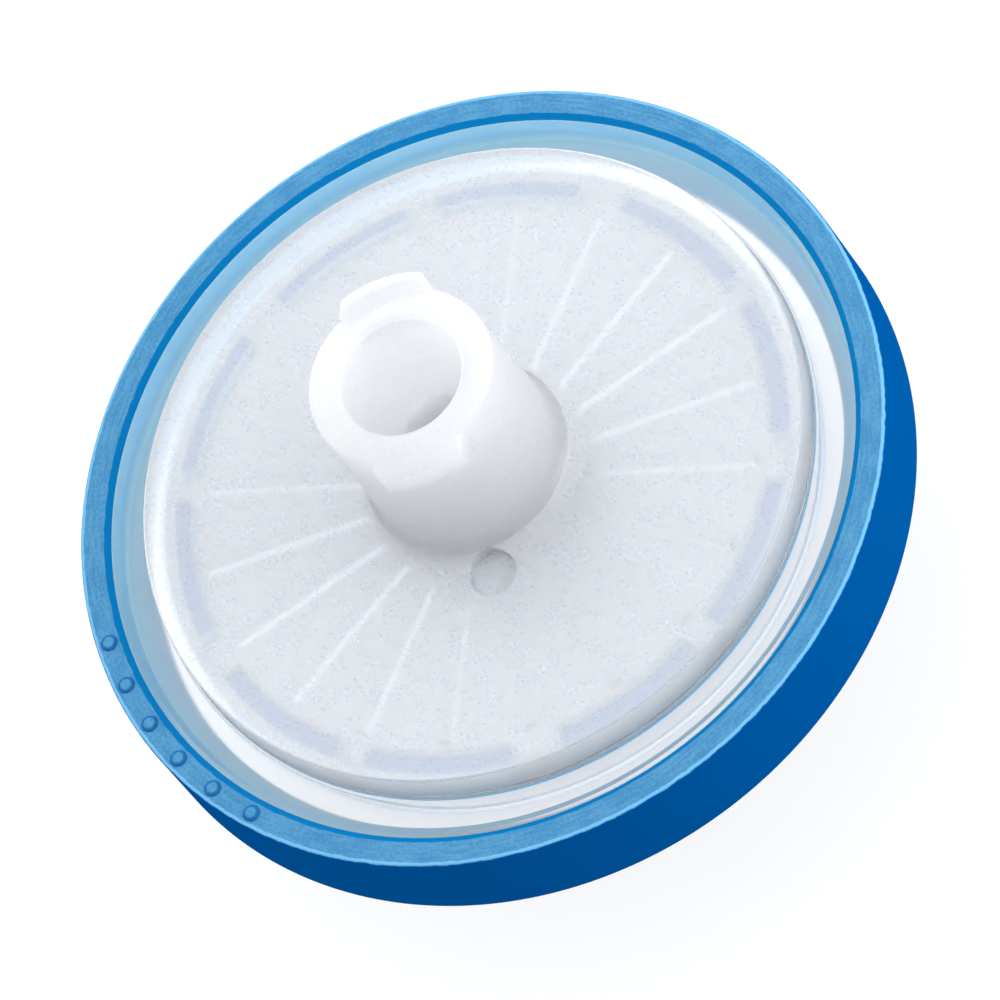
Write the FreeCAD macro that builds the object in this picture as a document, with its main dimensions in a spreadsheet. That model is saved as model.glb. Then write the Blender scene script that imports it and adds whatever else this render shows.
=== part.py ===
"""Disposable 25 mm syringe filter: four moulded pieces held together by an overmoulded ring.

The row frame sits on the inlet fitting: the origin is the centre of the inlet's mouth face, +Z points out
of the mouth along the flow axis, and +Y runs through one of the two luer lock lugs.  Lengths are in
millimetres and angles in degrees.  Every driving size is a named cell of the Sizes spreadsheet.
"""

import FreeCAD, Part
import math
import os

import Sketcher

# Driving sizes -------------------------------------------------------------------------------------------

SIZES = {
    # inlet: female luer lock hub
    "hub_height": 6.70,
    "hub_mouth_radius": 3.28,
    "hub_draft": 0.10,
    "hub_edge_round": 0.15,
    "hub_foot_round": 0.90,
    "luer_mouth_radius": 2.137,
    "mouth_land": 0.50,
    "luer_slope": 0.03,
    "luer_floor_thickness": 0.45,
    "lead_in": 0.15,
    "feed_hole_radius": 0.90,
    # the two lugs of the luer lock
    "lug_count": 2,
    "lug_reach": 0.59,
    "lug_tip_width": 2.96,
    "lug_root_width": 3.38,
    "lug_thickness": 1.30,
    "lug_edge_thickness": 0.95,
    # inlet housing: raised plateau and the clear channel around it
    "housing_radius": 13.40,
    "border_width": 1.55,
    "plateau_rise": 0.95,
    "plateau_round": 0.12,
    "plate_thickness": 1.25,
    "channel_drop": 0.25,
    "channel_round": 0.20,
    "rim_width": 0.38,
    "rim_slope": 0.22,
    "gate_radius": 0.84,
    "gate_gap": 0.24,
    "gate_depth": 0.22,
    # filter chamber: spreader ribs and the clamp crown over the edge of the membrane
    "chamber_height": 0.60,
    "rib_count": 20,
    "rib_width": 0.50,
    "rib_height": 0.35,
    "rib_start": 3.60,
    "rib_clearance": 0.38,
    "crown_inset": 0.80,
    "crown_width": 0.67,
    "crown_gap_count": 5,
    "wide_gap": 1.68,
    "narrow_gap": 1.02,
    # membrane
    "membrane_inset": 0.25,
    "membrane_thickness": 0.15,
    "membrane_clearance": 0.10,
    # overmoulded ring
    "ring_wall": 1.10,
    "ring_edge_round": 0.12,
    "bevel_width": 0.22,
    "bevel_depth": 0.14,
    "lip_reach": 0.90,
    "lip_thickness": 0.90,
    "dot_count": 6,
    "dot_pitch": 7.45,
    "dot_start": 186.1,
    "dot_radius": 0.29,
    "dot_height": 0.09,
    # outlet housing: support ribs and the male luer tip
    "drain_depth": 0.45,
    "support_width": 0.40,
    "support_start": 2.40,
    "outlet_recess": 0.68,
    "outlet_rim_wall": 0.90,
    "spout_shoulder": 0.78,
    "spout_foot_height": 1.40,
    "spout_foot_round": 0.60,
    "tip_radius": 1.985,
    "cone_length": 7.50,
    "tip_land": 0.50,
    "tip_round": 0.20,
    "outlet_hole_radius": 1.05,
}

# Levels along the axis, as expressions on the sheet ------------------------------------------------------

MOUTH = "0"
PLATEAU = "-Sizes.hub_height"
RING_TOP = f"{PLATEAU} - Sizes.plateau_rise"
CHANNEL = f"{RING_TOP} - Sizes.channel_drop"
RIM_TOP = f"{RING_TOP} - Sizes.bevel_depth"
ROOF = f"{PLATEAU} - Sizes.plate_thickness"
MOUTH_LAND_END = "-Sizes.lead_in - Sizes.mouth_land"
LUER_FLOOR = f"{ROOF} + Sizes.luer_floor_thickness"
MEMBRANE_TOP = f"{ROOF} - Sizes.chamber_height"
PARTING = f"{MEMBRANE_TOP} - Sizes.membrane_thickness"
DRAIN_FLOOR = f"{PARTING} - Sizes.drain_depth"
OUTLET_FACE = f"{DRAIN_FLOOR} - Sizes.plate_thickness"
RING_BOTTOM = f"{OUTLET_FACE} - Sizes.outlet_recess"
LIP_TOP = f"{RING_BOTTOM} + Sizes.lip_thickness"
SPOUT_FOOT = f"{OUTLET_FACE} - Sizes.spout_foot_height"
TIP_LAND_END = f"{SPOUT_FOOT} - Sizes.tip_land"
TIP_END = f"{TIP_LAND_END} - Sizes.cone_length"

# Radii that follow from the driving sizes, from the axis outwards ----------------------------------------

LUER_FLOOR_RADIUS = f"Sizes.luer_mouth_radius + Sizes.luer_slope * ({LUER_FLOOR} - ({MOUTH_LAND_END}))"
TIP_BASE_RADIUS = "Sizes.tip_radius + Sizes.luer_slope * Sizes.cone_length"
SPOUT_FOOT_RADIUS = f"{TIP_BASE_RADIUS} + Sizes.spout_shoulder"
LUG_ROOT = "(Sizes.luer_mouth_radius + Sizes.hub_mouth_radius) / 2"
HUB_FOOT_RADIUS = "Sizes.hub_mouth_radius + Sizes.hub_draft"
LUG_RADIUS = "Sizes.hub_mouth_radius + Sizes.lug_reach"
GATE_OFFSET = f"{HUB_FOOT_RADIUS} + Sizes.gate_gap + Sizes.gate_radius"
PLATEAU_RADIUS = "Sizes.housing_radius - Sizes.border_width"
CROWN_OUTER_RADIUS = f"{PLATEAU_RADIUS} - Sizes.crown_inset"
CROWN_INNER_RADIUS = f"{CROWN_OUTER_RADIUS} - Sizes.crown_width"
RIB_END = f"{CROWN_INNER_RADIUS} - Sizes.rib_clearance"
POCKET_RADIUS = f"{PLATEAU_RADIUS} - Sizes.membrane_inset"
MEMBRANE_RADIUS = f"{POCKET_RADIUS} - Sizes.membrane_clearance"
CHANNEL_RIM_RADIUS = "Sizes.housing_radius - Sizes.rim_width"
LIP_RADIUS = "Sizes.housing_radius - Sizes.lip_reach"
OUTLET_RIM_RADIUS = f"{LIP_RADIUS} - Sizes.outlet_rim_wall"
RING_OUTER_RADIUS = "Sizes.housing_radius + Sizes.ring_wall"
DOT_INSET = "(Sizes.bevel_width + Sizes.ring_wall - Sizes.ring_edge_round) / 2"
DOT_CIRCLE_RADIUS = f"Sizes.housing_radius + {DOT_INSET}"

ORIGIN = (-1, 1)
FULL_TURN = 360
TOLERANCE = 1e-6

doc = FreeCAD.newDocument("SyringeFilter")
sheet = doc.addObject("Spreadsheet::Sheet", "Sizes")
for row, (alias, size) in enumerate(SIZES.items(), start=1):
    sheet.set(f"A{row}", alias.replace("_", " "))
    sheet.set(f"B{row}", str(size))
    sheet.setAlias(f"B{row}", alias)
doc.recompute()


# Sketch and feature helpers ------------------------------------------------------------------------------


def value(expression):
    """The number that an expression on the sheet gives now."""
    return float(sheet.evalExpression(expression))


def new_body(name):
    """An empty body whose label names its STEP file."""
    body = doc.addObject("PartDesign::Body", name)
    body.Label = name
    return body


def new_sketch(body, name, role, level=MOUTH):
    """A sketch on one of the body's origin planes, lifted to a level along the plane's normal."""
    plane = next(item for item in body.Origin.OriginFeatures if item.Role == role)
    sketch = body.newObject("Sketcher::SketchObject", name)
    sketch.AttachmentSupport = [(plane, "")]
    sketch.MapMode = "FlatFace"
    if level != MOUTH:
        sketch.setExpression("AttachmentOffset.Base.z", level)
    return sketch


def dimension(sketch, kind, place, name, expression):
    """A named sketch dimension that follows an expression on the sheet."""
    index = sketch.addConstraint(Sketcher.Constraint(kind, *place, value(expression)))
    sketch.renameConstraint(index, name)
    sketch.setExpression(f".Constraints.{name}", expression)


def outline(sketch, corners):
    """A closed outline through corners given as (name, x, y) or (name, x, y, round radius).

    A coordinate equal to the corner before becomes a horizontal or vertical constraint, and any other
    coordinate becomes a dimension from the origin.  A rounded corner keeps its sharp corner as a
    construction point, with a tangent arc between the two lines.
    """
    spots = [FreeCAD.Vector(value(corner[1]), value(corner[2]), 0) for corner in corners]
    rounds = [corner[3] if len(corner) > 3 else None for corner in corners]
    count = len(corners)
    ends = [line_ends(spots, i, rounds[i]) for i in range(count)]
    lines = []
    for i in range(count):
        segment = Part.LineSegment(ends[i][1], ends[(i + 1) % count][0])
        lines.append(sketch.addGeometry(segment, False))
    for i, corner in enumerate(corners):
        before, after = lines[i - 1], lines[i]
        if rounds[i] is None:
            sketch.addConstraint(Sketcher.Constraint("Coincident", before, 2, after, 1))
            place = (after, 1)
        else:
            place = round_corner(sketch, before, after, spots[i], ends[i], corner[0], rounds[i])
        place_corner(sketch, place, corners, i)
        corners[i] = (*corner[:3], rounds[i], place)


def line_ends(spots, i, rounding):
    """Where the line before a corner ends and the line after it starts, clear of the corner's rounding."""
    spot = spots[i]
    if rounding is None:
        return spot, spot
    back = (spots[i - 1] - spot).normalize()
    ahead = (spots[(i + 1) % len(spots)] - spot).normalize()
    reach = value(rounding) / math.tan(back.getAngle(ahead) / 2)
    return spot + back * reach, spot + ahead * reach


def place_corner(sketch, place, corners, i):
    """Ties a corner to the one before it, or to the origin by a named dimension."""
    name, across, up = corners[i][:3]
    earlier = corners[i - 1] if i else None
    if earlier and earlier[1] == across:
        sketch.addConstraint(Sketcher.Constraint("Vertical", *earlier[4], *place))
    else:
        dimension(sketch, "DistanceX", (*ORIGIN, *place), f"{name}_x", across)
    if earlier and earlier[2] == up:
        sketch.addConstraint(Sketcher.Constraint("Horizontal", *earlier[4], *place))
    elif up == MOUTH:
        sketch.addConstraint(Sketcher.Constraint("PointOnObject", *place, -1))
    else:
        dimension(sketch, "DistanceY", (*ORIGIN, *place), f"{name}_y", up)


def round_corner(sketch, before, after, spot, ends, name, rounding):
    """A tangent arc between two lines of an outline.  Returns the construction point of the sharp corner."""
    back, ahead = (end - spot for end in ends)
    radius = value(rounding)
    middle = (back + ahead).normalize()
    centre = spot + middle * math.hypot(radius, back.Length)
    spokes = [end - centre for end in ends]
    turns_left = back.cross(ahead).z < 0
    first, last = (1, 2) if turns_left else (2, 1)
    angles = [math.atan2(spoke.y, spoke.x) for spoke in (spokes if turns_left else reversed(spokes))]
    rim = Part.Circle(centre, FreeCAD.Vector(0, 0, 1), radius)
    arc = sketch.addGeometry(Part.ArcOfCircle(rim, *angles), False)
    corner = sketch.addGeometry(Part.Point(spot), True)
    sketch.addConstraint(Sketcher.Constraint("Tangent", before, 2, arc, first))
    sketch.addConstraint(Sketcher.Constraint("Tangent", arc, last, after, 1))
    sketch.addConstraint(Sketcher.Constraint("PointOnObject", corner, 1, before))
    sketch.addConstraint(Sketcher.Constraint("PointOnObject", corner, 1, after))
    dimension(sketch, "Radius", (arc,), f"{name}_round", rounding)
    return corner, 1


def circle(sketch, centre_x, centre_y, radius):
    """A circle with its centre dimensioned from the origin."""
    middle = FreeCAD.Vector(value(centre_x), value(centre_y), 0)
    index = sketch.addGeometry(Part.Circle(middle, FreeCAD.Vector(0, 0, 1), value(radius)), False)
    dimension(sketch, "DistanceX", (*ORIGIN, index, 3), "centre_x", centre_x)
    dimension(sketch, "DistanceY", (*ORIGIN, index, 3), "centre_y", centre_y)
    dimension(sketch, "Radius", (index,), "radius", radius)


def revolve(body, name, corners, kind="PartDesign::Revolution"):
    """A full turn of an outline on the XZ plane about the Z axis."""
    sketch = new_sketch(body, f"{name}_profile", "XZ_Plane")
    outline(sketch, corners)
    feature = body.newObject(kind, name)
    feature.Profile = sketch
    feature.ReferenceAxis = (sketch, ["V_Axis"])
    feature.Angle = FULL_TURN
    return feature


def extrude(body, name, sketch, length, kind="PartDesign::Pad", downward=False):
    """A pad or pocket of a plan sketch; a pocket cuts downward unless it is told otherwise."""
    feature = body.newObject(kind, name)
    feature.Profile = sketch
    feature.setExpression("Length", length)
    feature.Reversed = downward if kind == "PartDesign::Pad" else not downward
    return feature


def polar(body, name, originals, count, angle=FULL_TURN):
    """Copies of a feature about the Z axis, evenly spread over an angle."""
    axis = next(item for item in body.Origin.OriginFeatures if item.Role == "Z_Axis")
    pattern = body.newObject("PartDesign::PolarPattern", name)
    pattern.Originals = originals
    pattern.Axis = (axis, [""])
    pattern.setExpression("Occurrences", count)
    if angle == FULL_TURN:
        pattern.Angle = FULL_TURN
    else:
        pattern.setExpression("Angle", angle)
    body.Tip = pattern
    return pattern


def slot(sketch, width, near, far):
    """A rectangle centred on the sketch's Y axis, from one distance from the origin to another."""
    left, right = f"-{width} / 2", f"{width} / 2"
    outline(sketch, [("near_left", left, near), ("near_right", right, near),
                     ("far_right", right, far), ("far_left", left, far)])


def lug_outline(sketch):
    """A lug in plan: an outer arc about the axis, two slanting ends and a root inside the hub's wall."""
    rim = Part.Circle(FreeCAD.Vector(0, 0, 0), FreeCAD.Vector(0, 0, 1), value(LUG_RADIUS))
    half_turn = math.asin(value("Sizes.lug_tip_width / 2") / value(LUG_RADIUS))
    root_x, root_y = value("Sizes.lug_root_width / 2"), value(LUG_ROOT)
    arc = sketch.addGeometry(Part.ArcOfCircle(rim, math.pi / 2 - half_turn, math.pi / 2 + half_turn), False)
    spots = [
        FreeCAD.Vector(value("-Sizes.lug_tip_width / 2"), value(LUG_RADIUS) * math.cos(half_turn), 0),
        FreeCAD.Vector(-root_x, root_y, 0),
        FreeCAD.Vector(root_x, root_y, 0),
        FreeCAD.Vector(value("Sizes.lug_tip_width / 2"), value(LUG_RADIUS) * math.cos(half_turn), 0),
    ]
    left, root, right = [
        sketch.addGeometry(Part.LineSegment(start, end), False) for start, end in zip(spots, spots[1:])
    ]
    sketch.addConstraint(Sketcher.Constraint("Coincident", arc, 3, *ORIGIN))
    sketch.addConstraint(Sketcher.Constraint("Coincident", arc, 2, left, 1))
    sketch.addConstraint(Sketcher.Constraint("Coincident", left, 2, root, 1))
    sketch.addConstraint(Sketcher.Constraint("Coincident", root, 2, right, 1))
    sketch.addConstraint(Sketcher.Constraint("Coincident", right, 2, arc, 1))
    sketch.addConstraint(Sketcher.Constraint("Symmetric", arc, 1, arc, 2, -2))
    sketch.addConstraint(Sketcher.Constraint("Symmetric", root, 1, root, 2, -2))
    dimension(sketch, "Radius", (arc,), "outer_radius", LUG_RADIUS)
    dimension(sketch, "DistanceX", (arc, 2, arc, 1), "tip_width", "Sizes.lug_tip_width")
    dimension(sketch, "DistanceX", (root, 1, root, 2), "root_width", "Sizes.lug_root_width")
    dimension(sketch, "DistanceY", (*ORIGIN, root, 1), "root_level", LUG_ROOT)


def export(item):
    """Writes one sub-part's shape to the STEP file named by its label."""
    item.Shape.exportStep(f"parts/{item.Label}.step")


# Inlet housing: luer lock hub, plateau, clear channel, spreader ribs and clamp crown ---------------------

inlet = new_body("inlet_housing")
revolve(
    inlet,
    "shell",
    [
        ("mouth_inner", "Sizes.luer_mouth_radius + Sizes.lead_in", MOUTH),
        ("land_start", "Sizes.luer_mouth_radius", "-Sizes.lead_in"),
        ("land_end", "Sizes.luer_mouth_radius", MOUTH_LAND_END),
        ("luer_floor", LUER_FLOOR_RADIUS, LUER_FLOOR),
        ("feed_top", "Sizes.feed_hole_radius", LUER_FLOOR),
        ("feed_bottom", "Sizes.feed_hole_radius", ROOF),
        ("roof_edge", CROWN_INNER_RADIUS, ROOF),
        ("crown_inner", CROWN_INNER_RADIUS, MEMBRANE_TOP),
        ("pocket_inner", POCKET_RADIUS, MEMBRANE_TOP),
        ("pocket_outer", POCKET_RADIUS, PARTING),
        ("parting_edge", "Sizes.housing_radius", PARTING),
        ("rim_edge", "Sizes.housing_radius", RIM_TOP),
        ("rim_inner", f"{CHANNEL_RIM_RADIUS} + Sizes.rim_slope", RIM_TOP),
        ("channel_outer", CHANNEL_RIM_RADIUS, CHANNEL, "Sizes.channel_round"),
        ("channel_inner", PLATEAU_RADIUS, CHANNEL, "Sizes.channel_round"),
        ("plateau_edge", PLATEAU_RADIUS, PLATEAU, "Sizes.plateau_round"),
        ("hub_foot", HUB_FOOT_RADIUS, PLATEAU, "Sizes.hub_foot_round"),
        ("mouth_outer", "Sizes.hub_mouth_radius", MOUTH, "Sizes.hub_edge_round"),
    ],
)


lug_plan = new_sketch(inlet, "lug_plan", "XY_Plane")
lug_outline(lug_plan)
lug = extrude(inlet, "lug", lug_plan, "Sizes.lug_thickness", downward=True)
polar(inlet, "lugs", [lug], "Sizes.lug_count")
revolve(
    inlet,
    "lug_flank",
    [
        ("flank_root", HUB_FOOT_RADIUS, "-Sizes.lug_thickness"),
        ("flank_below", f"{LUG_RADIUS} + Sizes.lug_thickness", "-Sizes.lug_thickness"),
        ("flank_edge", f"{LUG_RADIUS} + Sizes.lug_thickness", "-Sizes.lug_edge_thickness"),
        ("flank_top", LUG_RADIUS, "-Sizes.lug_edge_thickness"),
    ],
    kind="PartDesign::Groove",
)

gate_plan = new_sketch(inlet, "gate_plan", "XY_Plane", f"{PLATEAU} - Sizes.gate_depth")
circle(gate_plan, MOUTH, f"-({GATE_OFFSET})", "Sizes.gate_radius")
extrude(inlet, "gate", gate_plan, "Sizes.gate_depth + Sizes.hub_foot_round", "PartDesign::Pocket")

rib_plan = new_sketch(inlet, "rib_plan", "XY_Plane", ROOF)
slot(rib_plan, "Sizes.rib_width", "Sizes.rib_start", RIB_END)
rib = extrude(inlet, "rib", rib_plan, "Sizes.rib_height", downward=True)
polar(inlet, "ribs", [rib], "Sizes.rib_count")

for name, width, near, far in (
    ("narrow_gap", "Sizes.narrow_gap", RIB_END, CROWN_OUTER_RADIUS),
    ("wide_gap", "Sizes.wide_gap", f"-({CROWN_OUTER_RADIUS})", f"-({RIB_END})"),
):
    gap_plan = new_sketch(inlet, f"{name}_plan", "XY_Plane", MEMBRANE_TOP)
    slot(gap_plan, width, near, far)
    gap = extrude(inlet, name, gap_plan, f"({ROOF}) - ({MEMBRANE_TOP})", "PartDesign::Pocket")
    polar(inlet, f"{name}s", [gap], "Sizes.crown_gap_count")

# Membrane: a plain disc, pinched at its edge between the two housings ------------------------------------

membrane = doc.addObject("Part::Cylinder", "membrane")
membrane.Label = "membrane"
membrane.setExpression("Radius", MEMBRANE_RADIUS)
membrane.setExpression("Height", "Sizes.membrane_thickness")
membrane.setExpression("Placement.Base.z", PARTING)

# Outlet housing: drain with support ribs, and the male luer tip ------------------------------------------

outlet = new_body("outlet_housing")
revolve(
    outlet,
    "shell",
    [
        ("drain_inner", "Sizes.outlet_hole_radius", DRAIN_FLOOR),
        ("tip_inner", "Sizes.outlet_hole_radius", TIP_END),
        ("tip_outer", "Sizes.tip_radius", TIP_END, "Sizes.tip_round"),
        ("cone_end", TIP_BASE_RADIUS, TIP_LAND_END),
        ("tip_base", TIP_BASE_RADIUS, SPOUT_FOOT),
        ("foot_edge", SPOUT_FOOT_RADIUS, SPOUT_FOOT, "Sizes.tip_round"),
        ("foot_base", SPOUT_FOOT_RADIUS, OUTLET_FACE, "Sizes.spout_foot_round"),
        ("recess_edge", OUTLET_RIM_RADIUS, OUTLET_FACE, "Sizes.channel_round"),
        ("rim_inner", OUTLET_RIM_RADIUS, RING_BOTTOM),
        ("lip_bottom", LIP_RADIUS, RING_BOTTOM),
        ("lip_top", LIP_RADIUS, LIP_TOP),
        ("step_edge", "Sizes.housing_radius", LIP_TOP),
        ("parting_edge", "Sizes.housing_radius", PARTING),
        ("drain_edge", CROWN_INNER_RADIUS, PARTING),
        ("drain_outer", CROWN_INNER_RADIUS, DRAIN_FLOOR),
    ],
)
support_plan = new_sketch(outlet, "support_plan", "XY_Plane", DRAIN_FLOOR)
slot(support_plan, "Sizes.support_width", "Sizes.support_start", CROWN_OUTER_RADIUS)
support = extrude(outlet, "support", support_plan, "Sizes.drain_depth")
polar(outlet, "supports", [support], "Sizes.rib_count")

# Overmoulded ring: clasps both housings and carries a row of small raised dots ---------------------------

ring = new_body("overmould_ring")
revolve(
    ring,
    "band",
    [
        ("lip_bottom", LIP_RADIUS, RING_BOTTOM),
        ("outer_bottom", RING_OUTER_RADIUS, RING_BOTTOM, "Sizes.ring_edge_round"),
        ("outer_top", RING_OUTER_RADIUS, RING_TOP, "Sizes.ring_edge_round"),
        ("bevel_top", "Sizes.housing_radius + Sizes.bevel_width", RING_TOP),
        ("bevel_foot", "Sizes.housing_radius", RIM_TOP),
        ("inner_bottom", "Sizes.housing_radius", LIP_TOP),
        ("lip_top", LIP_RADIUS, LIP_TOP),
    ],
)
dot_plan = new_sketch(ring, "dot_plan", "XY_Plane", RING_TOP)
circle(
    dot_plan,
    f"({DOT_CIRCLE_RADIUS}) * cos(Sizes.dot_start * 1 deg)",
    f"({DOT_CIRCLE_RADIUS}) * sin(Sizes.dot_start * 1 deg)",
    "Sizes.dot_radius",
)
dot = extrude(ring, "dot", dot_plan, "Sizes.dot_height")
polar(ring, "dots", [dot], "Sizes.dot_count", "Sizes.dot_pitch * (Sizes.dot_count - 1)")

# Check every object, then write one STEP file for each sub-part ------------------------------------------

doc.recompute()
failed = [item.Name for item in doc.Objects if {"Invalid", "Error"} & set(item.State)]
if failed:
    raise RuntimeError(f"objects that failed to rebuild: {', '.join(failed)}")

os.makedirs("parts", exist_ok=True)
for piece in (inlet, membrane, outlet, ring):
    if piece.Shape.isNull() or not piece.Shape.isValid() or len(piece.Shape.Solids) != 1:
        raise RuntimeError(f"{piece.Label} is not one valid solid")
    export(piece)
    box = piece.Shape.BoundBox
    print(f"{piece.Label}: {piece.Shape.Volume:.2f} mm3, z {box.ZMin:.2f} to {box.ZMax:.2f}")
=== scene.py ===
"""Looks of a disposable 25 mm syringe filter.

A frosted inlet housing with a luer lock hub, a white membrane, an outlet housing with a luer slip tip and a
blue overmoulded ring. Sizes are in millimetres, in the frame of the CAD model, and turn into metres where
a mesh is made.
"""

import logging
import math
from dataclasses import dataclass
from enum import Enum

import bmesh
import bpy
from bpy.types import ID, Material, Node, NodeTree, Object
from bpy.types import NodeSocket as Socket
from mathutils import Matrix, Vector


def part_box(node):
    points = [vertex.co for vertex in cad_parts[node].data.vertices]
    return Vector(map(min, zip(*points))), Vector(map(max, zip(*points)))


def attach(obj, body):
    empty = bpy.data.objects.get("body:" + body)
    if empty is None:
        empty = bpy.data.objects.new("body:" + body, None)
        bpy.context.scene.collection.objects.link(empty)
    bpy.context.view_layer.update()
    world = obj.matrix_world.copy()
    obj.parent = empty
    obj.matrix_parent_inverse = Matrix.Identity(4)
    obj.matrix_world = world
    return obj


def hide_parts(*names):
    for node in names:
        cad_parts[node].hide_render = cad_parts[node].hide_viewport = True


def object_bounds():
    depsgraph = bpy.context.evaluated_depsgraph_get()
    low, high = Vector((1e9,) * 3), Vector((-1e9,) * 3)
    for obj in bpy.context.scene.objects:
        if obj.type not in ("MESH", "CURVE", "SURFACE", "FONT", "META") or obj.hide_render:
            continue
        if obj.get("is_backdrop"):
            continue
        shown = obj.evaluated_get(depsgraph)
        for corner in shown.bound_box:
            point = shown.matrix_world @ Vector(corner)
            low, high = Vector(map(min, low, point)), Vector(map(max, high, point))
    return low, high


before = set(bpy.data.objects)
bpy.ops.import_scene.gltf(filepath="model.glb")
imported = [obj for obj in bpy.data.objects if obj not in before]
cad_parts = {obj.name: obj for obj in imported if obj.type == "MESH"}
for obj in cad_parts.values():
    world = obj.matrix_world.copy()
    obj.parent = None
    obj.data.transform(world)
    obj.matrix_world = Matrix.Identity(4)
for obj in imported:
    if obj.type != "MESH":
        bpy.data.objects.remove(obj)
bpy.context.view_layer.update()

LOG = logging.getLogger("syringe_filter")
MM = 0.001
FULL_TURN = 2 * math.pi
SHARP_FROM = math.radians(32)
FINE_ROUND = 0.05


class Slot(Enum):
    """The record's material slots."""

    HOUSING = "clear_polypropylene"
    MEMBRANE = "membrane_white"
    RING = "blue_polypropylene"


class Cut(Enum):
    """What a pattern of blocks does to the body it meets."""

    ADD = "UNION"
    REMOVE = "DIFFERENCE"


# Node trees


class Tree:
    """A node tree that is written as formulas."""

    def __init__(self, nodes: NodeTree) -> None:
        """Starts an empty tree.

        Args:
            nodes: The node tree to write in.
        """
        self.tree = nodes
        self.tree.nodes.clear()

    def node(self, kind: str, inputs: dict[str | int, object] | None = None, **settings: object) -> Node:
        """Adds a node.

        Args:
            kind: The node's type name.
            inputs: Values or sockets for its inputs, by name or by number.
            **settings: The node's own settings.

        Returns:
            The node.
        """
        made = self.tree.nodes.new(kind)
        for name, setting in settings.items():
            setattr(made, name, setting)
        for name, given in (inputs or {}).items():
            self.put(made.inputs[name], given)
        return made

    def put(self, socket: Socket, given: object) -> None:
        """Links a socket to an input, or sets the input's value.

        Args:
            socket: The input.
            given: What it gets.
        """
        if isinstance(given, Socket):
            self.tree.links.new(given, socket)
        else:
            socket.default_value = given

    def math(self, operation: str, *given: object) -> Socket:
        """The result of a Math node on one to three numbers."""
        return self.node("ShaderNodeMath", dict(enumerate(given)), operation=operation).outputs[0]

    def plus(self, first: object, second: object) -> Socket:
        """The sum of two numbers."""
        return self.math("ADD", first, second)

    def minus(self, first: object, second: object) -> Socket:
        """The first number less the second."""
        return self.math("SUBTRACT", first, second)

    def times(self, first: object, second: object) -> Socket:
        """The product of two numbers."""
        return self.math("MULTIPLY", first, second)

    def length(self, x: object, y: object) -> Socket:
        """The length of a flat vector."""
        made = self.node("ShaderNodeVectorMath", {0: self.vector(x, y, 0.0)}, operation="LENGTH")
        return made.outputs["Value"]

    def on_circle(self, radius: object, turn: object, height: object) -> Socket:
        """The place at a radius, an angle from +X and a height."""
        x = self.times(radius, self.math("COSINE", turn))
        return self.vector(x, self.times(radius, self.math("SINE", turn)), height)

    def vector(self, x: object, y: object, z: object) -> Socket:
        """A vector from three numbers."""
        return self.node("ShaderNodeCombineXYZ", {0: x, 1: y, 2: z}).outputs[0]

    def parts(self, vector: Socket) -> tuple[Socket, Socket, Socket]:
        """The three numbers of a vector."""
        return tuple(self.node("ShaderNodeSeparateXYZ", {0: vector}).outputs)

    def ramp(self, value: Socket, low: float, high: float, start: float = 0.0, end: float = 1.0) -> Socket:
        """A smooth step that goes from start to end as the value goes from low to high."""
        values = {0: value, 1: low, 2: high, 3: start, 4: end}
        return self.node("ShaderNodeMapRange", values, interpolation_type="SMOOTHSTEP").outputs[0]

    def band(self, value: Socket, low: float, high: float, soft: float) -> Socket:
        """A mask that is one between two values and fades over a soft edge."""
        rising = self.ramp(value, low - soft, low + soft)
        return self.times(rising, self.ramp(value, high - soft, high + soft, 1.0, 0.0))

    def blend(self, factor: object, low: object, high: object) -> Socket:
        """A colour between two colours."""
        return self.node("ShaderNodeMix", {0: factor, 6: low, 7: high}, data_type="RGBA").outputs[2]

    def mix(self, factor: object, low: object, high: object) -> Socket:
        """A number between two numbers."""
        return self.node("ShaderNodeMix", {0: factor, 2: low, 3: high}, data_type="FLOAT").outputs[0]

    def noise(self, place: Socket, scale: object, detail: float = 0.0, roughness: float = 0.5) -> Socket:
        """Noise from zero to one at a place."""
        inputs = {"Vector": place, "Scale": scale, "Detail": detail, "Roughness": roughness}
        return self.node("ShaderNodeTexNoise", inputs).outputs["Fac"]


def new_geometry_tree(name: str, inputs: dict[str, str]) -> tuple[Tree, Node]:
    """A geometry tree with a geometry input, named inputs and a geometry output.

    Args:
        name: The tree's name.
        inputs: Socket type of each further input, by its name.

    Returns:
        The tree and its input node.
    """
    group = bpy.data.node_groups.new(name, "GeometryNodeTree")
    group.interface.new_socket("Geometry", in_out="INPUT", socket_type="NodeSocketGeometry")
    for label, kind in inputs.items():
        group.interface.new_socket(label, in_out="INPUT", socket_type=kind)
    group.interface.new_socket("Geometry", in_out="OUTPUT", socket_type="NodeSocketGeometry")
    tree = Tree(group)
    return tree, tree.node("NodeGroupInput")


def close_geometry_tree(tree: Tree, geometry: Socket, given: Node) -> None:
    """Shades the geometry smooth but for sharp edges, realizes it, sets its material and ends the tree.

    Args:
        tree: The tree.
        geometry: The geometry.
        given: The tree's input node, with the material.
    """
    smooth = tree.node(
        "GeometryNodeSetShadeSmooth", {"Geometry": geometry, "Shade Smooth": True}, domain="FACE"
    )
    angle = tree.node("GeometryNodeInputMeshEdgeAngle").outputs["Unsigned Angle"]
    sharp = tree.node(
        "GeometryNodeSetShadeSmooth",
        {"Geometry": smooth.outputs[0], "Selection": tree.math("GREATER_THAN", angle, SHARP_FROM)},
        domain="EDGE",
    )
    sharp.inputs["Shade Smooth"].default_value = False
    real = tree.node("GeometryNodeRealizeInstances", {"Geometry": sharp.outputs[0]})
    dressed = tree.node(
        "GeometryNodeSetMaterial", {"Geometry": real.outputs[0], "Material": given.outputs["Material"]}
    )
    tree.node("NodeGroupOutput", {"Geometry": dressed.outputs[0]})


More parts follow.
